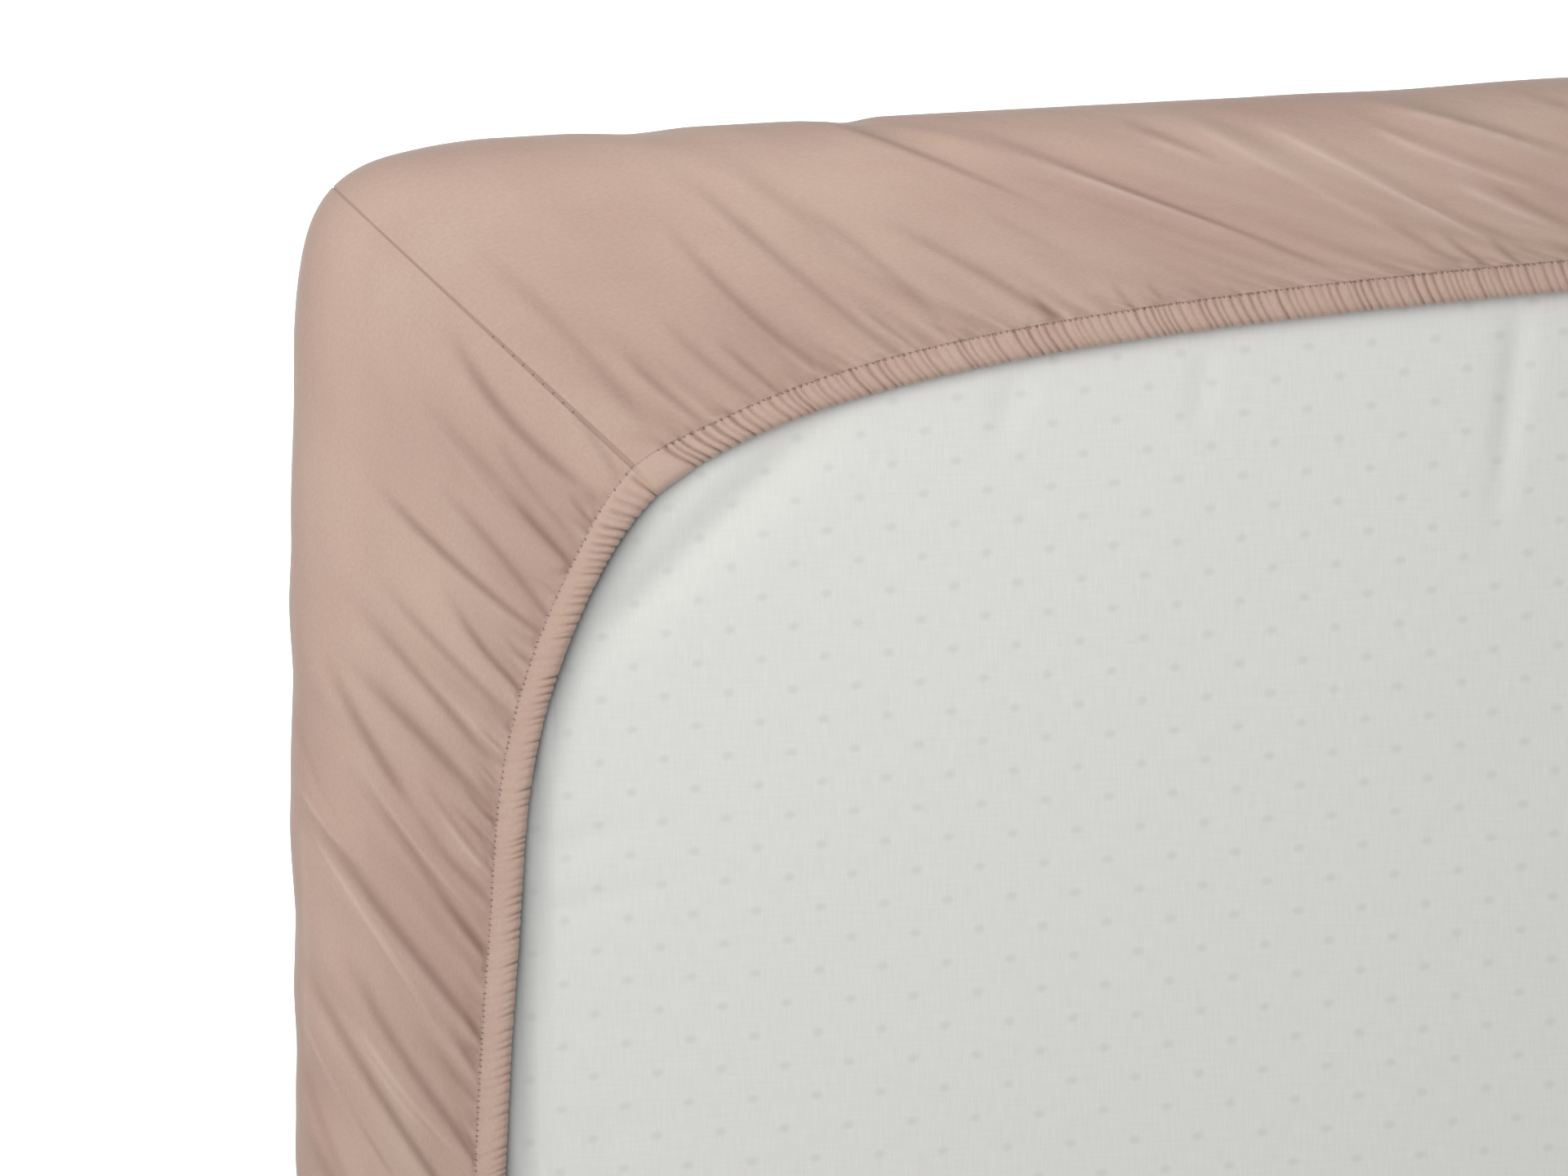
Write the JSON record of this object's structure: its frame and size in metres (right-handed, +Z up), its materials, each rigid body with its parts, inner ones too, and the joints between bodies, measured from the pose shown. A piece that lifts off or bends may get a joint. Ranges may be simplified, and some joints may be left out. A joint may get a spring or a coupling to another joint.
{
  "type": "fitted sheet on mattress",
  "caption": "Fitted bed sheet stretched over a plain mattress, lying face down, with its gathered elastic hem turned over the mattress's underside.",
  "frame": {"origin": "middle of the face that rests on the ground, which is the sheet's sleeping face", "axes": "+Z up, out of the mattress's underside; X along the mattress's length, Y across it"},
  "size_m": [2.0086, 1.4086, 0.1705],
  "materials": {
    "rose_cotton": "plain-woven cotton, matt with a faint sheen",
    "white_ticking": "white woven mattress cover with small raised dots, matt"
  },
  "bodies": {
    "root": {"fitted_sheet": "rose_cotton", "mattress": "white_ticking"}
  },
  "joints": []
}
